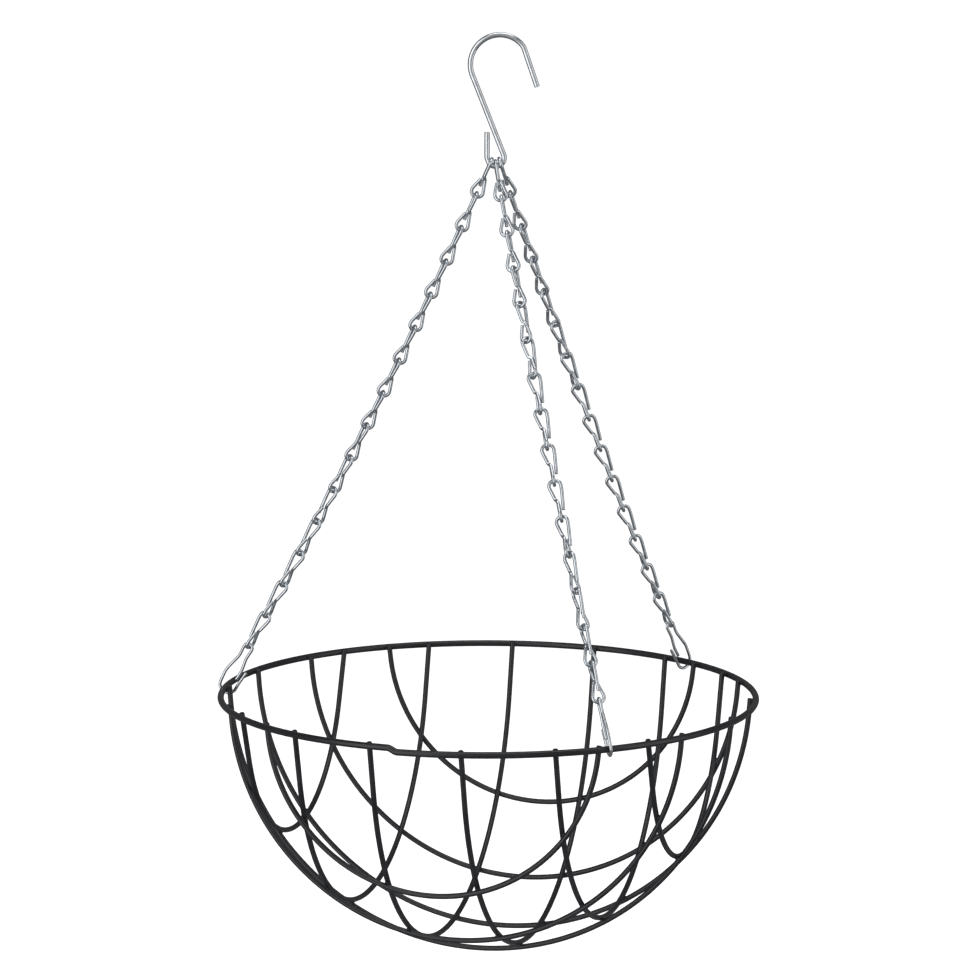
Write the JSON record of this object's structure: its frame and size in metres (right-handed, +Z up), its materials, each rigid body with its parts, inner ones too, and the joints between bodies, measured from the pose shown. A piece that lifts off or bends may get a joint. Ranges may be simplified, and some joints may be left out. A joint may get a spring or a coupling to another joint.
{
  "type": "hanging basket",
  "caption": "Round-bottomed wire hanging basket with a coated wire bowl, hung by jack chains and rim clips from one S-hook.",
  "frame": {"origin": "inside top of the hook's crook, the point that rests on a bracket or bar", "axes": "+Z up, against gravity when hung; the hook's wire lies in the XZ plane with the crook's open side towards +X; -Y is the front"},
  "size_m": [0.3012, 0.3, 0.5054],
  "materials": {
    "coated_wire": "satin black plastic coating over steel wire",
    "hook_wire": "bright zinc plating",
    "clip_wire": "bright zinc plating",
    "chain_wire": "bright zinc plating"
  },
  "bodies": {
    "hook": {"s_hook": "hook_wire"},
    "basket": {"rim_ring": "coated_wire", "rib_mid_back": "coated_wire", "rib_long_back": "coated_wire", "rib_mid_left": "coated_wire", "rib_long_left": "coated_wire", "rib_mid_front": "coated_wire", "rib_long_front": "coated_wire", "rib_mid_right": "coated_wire", "rib_long_right": "coated_wire", "ribs_short": "coated_wire"},
    "clip_body_left": {"clip_left": "clip_wire"},
    "chain_left_01": {"link_left_01": "chain_wire"},
    "chain_left_02": {"link_left_02": "chain_wire"},
    "chain_left_03": {"link_left_03": "chain_wire"},
    "chain_left_04": {"link_left_04": "chain_wire"},
    "chain_left_05": {"link_left_05": "chain_wire"},
    "chain_left_06": {"link_left_06": "chain_wire"},
    "chain_left_07": {"link_left_07": "chain_wire"},
    "chain_left_08": {"link_left_08": "chain_wire"},
    "chain_left_09": {"link_left_09": "chain_wire"},
    "chain_left_10": {"link_left_10": "chain_wire"},
    "chain_left_11": {"link_left_11": "chain_wire"},
    "chain_left_12": {"link_left_12": "chain_wire"},
    "chain_left_13": {"link_left_13": "chain_wire"},
    "chain_left_14": {"link_left_14": "chain_wire"},
    "chain_left_15": {"link_left_15": "chain_wire"},
    "clip_body_front": {"clip_front": "clip_wire"},
    "chain_front_01": {"link_front_01": "chain_wire"},
    "chain_front_02": {"link_front_02": "chain_wire"},
    "chain_front_03": {"link_front_03": "chain_wire"},
    "chain_front_04": {"link_front_04": "chain_wire"},
    "chain_front_05": {"link_front_05": "chain_wire"},
    "chain_front_06": {"link_front_06": "chain_wire"},
    "chain_front_07": {"link_front_07": "chain_wire"},
    "chain_front_08": {"link_front_08": "chain_wire"},
    "chain_front_09": {"link_front_09": "chain_wire"},
    "chain_front_10": {"link_front_10": "chain_wire"},
    "chain_front_11": {"link_front_11": "chain_wire"},
    "chain_front_12": {"link_front_12": "chain_wire"},
    "chain_front_13": {"link_front_13": "chain_wire"},
    "chain_front_14": {"link_front_14": "chain_wire"},
    "chain_front_15": {"link_front_15": "chain_wire"},
    "clip_body_right": {"clip_right": "clip_wire"},
    "chain_right_01": {"link_right_01": "chain_wire"},
    "chain_right_02": {"link_right_02": "chain_wire"},
    "chain_right_03": {"link_right_03": "chain_wire"},
    "chain_right_04": {"link_right_04": "chain_wire"},
    "chain_right_05": {"link_right_05": "chain_wire"},
    "chain_right_06": {"link_right_06": "chain_wire"},
    "chain_right_07": {"link_right_07": "chain_wire"},
    "chain_right_08": {"link_right_08": "chain_wire"},
    "chain_right_09": {"link_right_09": "chain_wire"},
    "chain_right_10": {"link_right_10": "chain_wire"},
    "chain_right_11": {"link_right_11": "chain_wire"},
    "chain_right_12": {"link_right_12": "chain_wire"},
    "chain_right_13": {"link_right_13": "chain_wire"},
    "chain_right_14": {"link_right_14": "chain_wire"},
    "chain_right_15": {"link_right_15": "chain_wire"}
  },
  "joints": [
    {"name": "basket_swing", "type": "hinge", "parent": "hook", "child": "basket", "pos_m": [-0.0023, 0, -0.06886], "axis": [1, 0, 0], "range_deg": [-12, 12]},
    {"name": "clip_hinge_left", "type": "hinge", "parent": "basket", "child": "clip_body_left", "pos_m": [-0.15296, 0.02063, -0.36249], "axis": [-0.1392, -0.9903, 0], "range_deg": [0, 195]},
    {"name": "twist_left_01", "type": "hinge", "parent": "clip_body_left", "child": "chain_left_01", "pos_m": [-0.01285, 0.00102, -0.08525], "axis": [0.4017, -0.0562, 0.9141], "range_deg": [-5.5, 5.5]},
    {"name": "twist_left_02", "type": "hinge", "parent": "clip_body_left", "child": "chain_left_02", "pos_m": [-0.02114, 0.00218, -0.10378], "axis": [0.4077, -0.057, 0.9114], "range_deg": [-10.5, 10.5]},
    {"name": "twist_left_03", "type": "hinge", "parent": "clip_body_left", "child": "chain_left_03", "pos_m": [-0.02955, 0.00336, -0.12225], "axis": [0.4136, -0.0579, 0.9086], "range_deg": [-15.5, 15.5]},
    {"name": "twist_left_04", "type": "hinge", "parent": "clip_body_left", "child": "chain_left_04", "pos_m": [-0.03807, 0.00455, -0.14066], "axis": [0.4196, -0.0587, 0.9058], "range_deg": [-20.5, 20.5]},
    {"name": "twist_left_05", "type": "hinge", "parent": "clip_body_left", "child": "chain_left_05", "pos_m": [-0.04672, 0.00576, -0.15901], "axis": [0.4256, -0.0595, 0.903], "range_deg": [-25.5, 25.5]},
    {"name": "twist_left_06", "type": "hinge", "parent": "clip_body_left", "child": "chain_left_06", "pos_m": [-0.05549, 0.00699, -0.1773], "axis": [0.4315, -0.0604, 0.9001], "range_deg": [-30.5, 30.5]},
    {"name": "twist_left_07", "type": "hinge", "parent": "clip_body_left", "child": "chain_left_07", "pos_m": [-0.06438, 0.00823, -0.19552], "axis": [0.4374, -0.0612, 0.8972], "range_deg": [-35.5, 35.5]},
    {"name": "twist_left_08", "type": "hinge", "parent": "clip_body_left", "child": "chain_left_08", "pos_m": [-0.07338, 0.00949, -0.21369], "axis": [0.4433, -0.062, 0.8942], "range_deg": [-40, 40]},
    {"name": "twist_left_09", "type": "hinge", "parent": "clip_body_left", "child": "chain_left_09", "pos_m": [-0.08251, 0.01077, -0.23179], "axis": [0.4492, -0.0628, 0.8912], "range_deg": [-35.5, 35.5]},
    {"name": "twist_left_10", "type": "hinge", "parent": "clip_body_left", "child": "chain_left_10", "pos_m": [-0.09175, 0.01206, -0.24984], "axis": [0.4551, -0.0637, 0.8882], "range_deg": [-30.5, 30.5]},
    {"name": "twist_left_11", "type": "hinge", "parent": "clip_body_left", "child": "chain_left_11", "pos_m": [-0.10111, 0.01337, -0.26782], "axis": [0.4609, -0.0645, 0.8851], "range_deg": [-25.5, 25.5]},
    {"name": "twist_left_12", "type": "hinge", "parent": "clip_body_left", "child": "chain_left_12", "pos_m": [-0.1106, 0.0147, -0.28574], "axis": [0.4667, -0.0653, 0.882], "range_deg": [-20.5, 20.5]},
    {"name": "twist_left_13", "type": "hinge", "parent": "clip_body_left", "child": "chain_left_13", "pos_m": [-0.1202, 0.01604, -0.3036], "axis": [0.4725, -0.0661, 0.8788], "range_deg": [-15.5, 15.5]},
    {"name": "twist_left_14", "type": "hinge", "parent": "clip_body_left", "child": "chain_left_14", "pos_m": [-0.12992, 0.0174, -0.3214], "axis": [0.4783, -0.0669, 0.8757], "range_deg": [-10.5, 10.5]},
    {"name": "twist_left_15", "type": "hinge", "parent": "clip_body_left", "child": "chain_left_15", "pos_m": [-0.13977, 0.01878, -0.33914], "axis": [0.484, -0.0677, 0.8724], "range_deg": [-5.5, 5.5]},
    {"name": "clip_hinge_front", "type": "hinge", "parent": "basket", "child": "clip_body_front", "pos_m": [0.05713, -0.13398, -0.36381], "axis": [0.9041, 0.4274, 0], "range_deg": [0, 195]},
    {"name": "twist_front_01", "type": "hinge", "parent": "clip_body_front", "child": "chain_front_01", "pos_m": [0.00096, -0.00665, -0.08656], "axis": [-0.1612, 0.3654, 0.9168], "range_deg": [-5.5, 5.5]},
    {"name": "twist_front_02", "type": "hinge", "parent": "clip_body_front", "child": "chain_front_02", "pos_m": [0.00427, -0.01416, -0.10508], "axis": [-0.1637, 0.371, 0.9141], "range_deg": [-10.5, 10.5]},
    {"name": "twist_front_03", "type": "hinge", "parent": "clip_body_front", "child": "chain_front_03", "pos_m": [0.00764, -0.02179, -0.12354], "axis": [-0.1661, 0.3765, 0.9114], "range_deg": [-15.5, 15.5]},
    {"name": "twist_front_04", "type": "hinge", "parent": "clip_body_front", "child": "chain_front_04", "pos_m": [0.01105, -0.02953, -0.14194], "axis": [-0.1686, 0.3821, 0.9086], "range_deg": [-20.5, 20.5]},
    {"name": "twist_front_05", "type": "hinge", "parent": "clip_body_front", "child": "chain_front_05", "pos_m": [0.01451, -0.03737, -0.16028], "axis": [-0.171, 0.3876, 0.9058], "range_deg": [-25.5, 25.5]},
    {"name": "twist_front_06", "type": "hinge", "parent": "clip_body_front", "child": "chain_front_06", "pos_m": [0.01802, -0.04533, -0.17856], "axis": [-0.1734, 0.3931, 0.903], "range_deg": [-30.5, 30.5]},
    {"name": "twist_front_07", "type": "hinge", "parent": "clip_body_front", "child": "chain_front_07", "pos_m": [0.02159, -0.0534, -0.19678], "axis": [-0.1759, 0.3986, 0.9001], "range_deg": [-35.5, 35.5]},
    {"name": "twist_front_08", "type": "hinge", "parent": "clip_body_front", "child": "chain_front_08", "pos_m": [0.02519, -0.06158, -0.21494], "axis": [-0.1783, 0.4041, 0.8972], "range_deg": [-40, 40]},
    {"name": "twist_front_09", "type": "hinge", "parent": "clip_body_front", "child": "chain_front_09", "pos_m": [0.02885, -0.06987, -0.23304], "axis": [-0.1807, 0.4096, 0.8942], "range_deg": [-35.5, 35.5]},
    {"name": "twist_front_10", "type": "hinge", "parent": "clip_body_front", "child": "chain_front_10", "pos_m": [0.03256, -0.07827, -0.25108], "axis": [-0.1831, 0.415, 0.8912], "range_deg": [-30.5, 30.5]},
    {"name": "twist_front_11", "type": "hinge", "parent": "clip_body_front", "child": "chain_front_11", "pos_m": [0.03631, -0.08678, -0.26906], "axis": [-0.1855, 0.4205, 0.8881], "range_deg": [-25.5, 25.5]},
    {"name": "twist_front_12", "type": "hinge", "parent": "clip_body_front", "child": "chain_front_12", "pos_m": [0.04012, -0.09541, -0.28697], "axis": [-0.1879, 0.4259, 0.8851], "range_deg": [-20.5, 20.5]},
    {"name": "twist_front_13", "type": "hinge", "parent": "clip_body_front", "child": "chain_front_13", "pos_m": [0.04397, -0.10414, -0.30483], "axis": [-0.1903, 0.4313, 0.8819], "range_deg": [-15.5, 15.5]},
    {"name": "twist_front_14", "type": "hinge", "parent": "clip_body_front", "child": "chain_front_14", "pos_m": [0.04787, -0.11298, -0.32263], "axis": [-0.1926, 0.4366, 0.8788], "range_deg": [-10.5, 10.5]},
    {"name": "twist_front_15", "type": "hinge", "parent": "clip_body_front", "child": "chain_front_15", "pos_m": [0.05182, -0.12194, -0.34037], "axis": [-0.195, 0.442, 0.8756], "range_deg": [-5.5, 5.5]},
    {"name": "clip_hinge_right", "type": "hinge", "parent": "basket", "child": "clip_body_right", "pos_m": [0.10766, 0.09486, -0.36323], "axis": [-0.6401, 0.7683, 0], "range_deg": [0, 195]},
    {"name": "twist_right_01", "type": "hinge", "parent": "clip_body_right", "child": "chain_right_01", "pos_m": [0.00587, 0.00459, -0.08521], "axis": [-0.2917, -0.2587, 0.9208], "range_deg": [-5.5, 5.5]},
    {"name": "twist_right_02", "type": "hinge", "parent": "clip_body_right", "child": "chain_right_02", "pos_m": [0.01186, 0.0099, -0.10376], "axis": [-0.2963, -0.2628, 0.9182], "range_deg": [-10.5, 10.5]},
    {"name": "twist_right_03", "type": "hinge", "parent": "clip_body_right", "child": "chain_right_03", "pos_m": [0.01794, 0.0153, -0.12226], "axis": [-0.3009, -0.2668, 0.9156], "range_deg": [-15.5, 15.5]},
    {"name": "twist_right_04", "type": "hinge", "parent": "clip_body_right", "child": "chain_right_04", "pos_m": [0.02411, 0.02077, -0.1407], "axis": [-0.3055, -0.2709, 0.9129], "range_deg": [-20.5, 20.5]},
    {"name": "twist_right_05", "type": "hinge", "parent": "clip_body_right", "child": "chain_right_05", "pos_m": [0.03037, 0.02632, -0.15909], "axis": [-0.31, -0.2749, 0.9101], "range_deg": [-25.5, 25.5]},
    {"name": "twist_right_06", "type": "hinge", "parent": "clip_body_right", "child": "chain_right_06", "pos_m": [0.03672, 0.03195, -0.17741], "axis": [-0.3146, -0.279, 0.9073], "range_deg": [-30.5, 30.5]},
    {"name": "twist_right_07", "type": "hinge", "parent": "clip_body_right", "child": "chain_right_07", "pos_m": [0.04317, 0.03767, -0.19567], "axis": [-0.3191, -0.283, 0.9045], "range_deg": [-35.5, 35.5]},
    {"name": "twist_right_08", "type": "hinge", "parent": "clip_body_right", "child": "chain_right_08", "pos_m": [0.0497, 0.04346, -0.21388], "axis": [-0.3236, -0.287, 0.9016], "range_deg": [-40, 40]},
    {"name": "twist_right_09", "type": "hinge", "parent": "clip_body_right", "child": "chain_right_09", "pos_m": [0.05633, 0.04934, -0.23202], "axis": [-0.3281, -0.291, 0.8987], "range_deg": [-35.5, 35.5]},
    {"name": "twist_right_10", "type": "hinge", "parent": "clip_body_right", "child": "chain_right_10", "pos_m": [0.06304, 0.05529, -0.25011], "axis": [-0.3326, -0.295, 0.8957], "range_deg": [-30.5, 30.5]},
    {"name": "twist_right_11", "type": "hinge", "parent": "clip_body_right", "child": "chain_right_11", "pos_m": [0.06985, 0.06133, -0.26814], "axis": [-0.3371, -0.2989, 0.8928], "range_deg": [-25.5, 25.5]},
    {"name": "twist_right_12", "type": "hinge", "parent": "clip_body_right", "child": "chain_right_12", "pos_m": [0.07675, 0.06745, -0.2861], "axis": [-0.3415, -0.3029, 0.8897], "range_deg": [-20.5, 20.5]},
    {"name": "twist_right_13", "type": "hinge", "parent": "clip_body_right", "child": "chain_right_13", "pos_m": [0.08374, 0.07365, -0.30401], "axis": [-0.346, -0.3068, 0.8867], "range_deg": [-15.5, 15.5]},
    {"name": "twist_right_14", "type": "hinge", "parent": "clip_body_right", "child": "chain_right_14", "pos_m": [0.09081, 0.07992, -0.32187], "axis": [-0.3504, -0.3107, 0.8835], "range_deg": [-10.5, 10.5]},
    {"name": "twist_right_15", "type": "hinge", "parent": "clip_body_right", "child": "chain_right_15", "pos_m": [0.09799, 0.08628, -0.33966], "axis": [-0.3548, -0.3147, 0.8804], "range_deg": [-5.5, 5.5]}
  ],
  "couplings": [
    {"joint": "twist_left_01", "follows": "twist_left_08", "ratio": 0.125},
    {"joint": "twist_left_02", "follows": "twist_left_08", "ratio": 0.25},
    {"joint": "twist_left_03", "follows": "twist_left_08", "ratio": 0.375},
    {"joint": "twist_left_04", "follows": "twist_left_08", "ratio": 0.5},
    {"joint": "twist_left_05", "follows": "twist_left_08", "ratio": 0.625},
    {"joint": "twist_left_06", "follows": "twist_left_08", "ratio": 0.75},
    {"joint": "twist_left_07", "follows": "twist_left_08", "ratio": 0.875},
    {"joint": "twist_left_09", "follows": "twist_left_08", "ratio": 0.875},
    {"joint": "twist_left_10", "follows": "twist_left_08", "ratio": 0.75},
    {"joint": "twist_left_11", "follows": "twist_left_08", "ratio": 0.625},
    {"joint": "twist_left_12", "follows": "twist_left_08", "ratio": 0.5},
    {"joint": "twist_left_13", "follows": "twist_left_08", "ratio": 0.375},
    {"joint": "twist_left_14", "follows": "twist_left_08", "ratio": 0.25},
    {"joint": "twist_left_15", "follows": "twist_left_08", "ratio": 0.125},
    {"joint": "twist_front_01", "follows": "twist_front_08", "ratio": 0.125},
    {"joint": "twist_front_02", "follows": "twist_front_08", "ratio": 0.25},
    {"joint": "twist_front_03", "follows": "twist_front_08", "ratio": 0.375},
    {"joint": "twist_front_04", "follows": "twist_front_08", "ratio": 0.5},
    {"joint": "twist_front_05", "follows": "twist_front_08", "ratio": 0.625},
    {"joint": "twist_front_06", "follows": "twist_front_08", "ratio": 0.75},
    {"joint": "twist_front_07", "follows": "twist_front_08", "ratio": 0.875},
    {"joint": "twist_front_09", "follows": "twist_front_08", "ratio": 0.875},
    {"joint": "twist_front_10", "follows": "twist_front_08", "ratio": 0.75},
    {"joint": "twist_front_11", "follows": "twist_front_08", "ratio": 0.625},
    {"joint": "twist_front_12", "follows": "twist_front_08", "ratio": 0.5},
    {"joint": "twist_front_13", "follows": "twist_front_08", "ratio": 0.375},
    {"joint": "twist_front_14", "follows": "twist_front_08", "ratio": 0.25},
    {"joint": "twist_front_15", "follows": "twist_front_08", "ratio": 0.125},
    {"joint": "twist_right_01", "follows": "twist_right_08", "ratio": 0.125},
    {"joint": "twist_right_02", "follows": "twist_right_08", "ratio": 0.25},
    {"joint": "twist_right_03", "follows": "twist_right_08", "ratio": 0.375},
    {"joint": "twist_right_04", "follows": "twist_right_08", "ratio": 0.5},
    {"joint": "twist_right_05", "follows": "twist_right_08", "ratio": 0.625},
    {"joint": "twist_right_06", "follows": "twist_right_08", "ratio": 0.75},
    {"joint": "twist_right_07", "follows": "twist_right_08", "ratio": 0.875},
    {"joint": "twist_right_09", "follows": "twist_right_08", "ratio": 0.875},
    {"joint": "twist_right_10", "follows": "twist_right_08", "ratio": 0.75},
    {"joint": "twist_right_11", "follows": "twist_right_08", "ratio": 0.625},
    {"joint": "twist_right_12", "follows": "twist_right_08", "ratio": 0.5},
    {"joint": "twist_right_13", "follows": "twist_right_08", "ratio": 0.375},
    {"joint": "twist_right_14", "follows": "twist_right_08", "ratio": 0.25},
    {"joint": "twist_right_15", "follows": "twist_right_08", "ratio": 0.125}
  ]
}
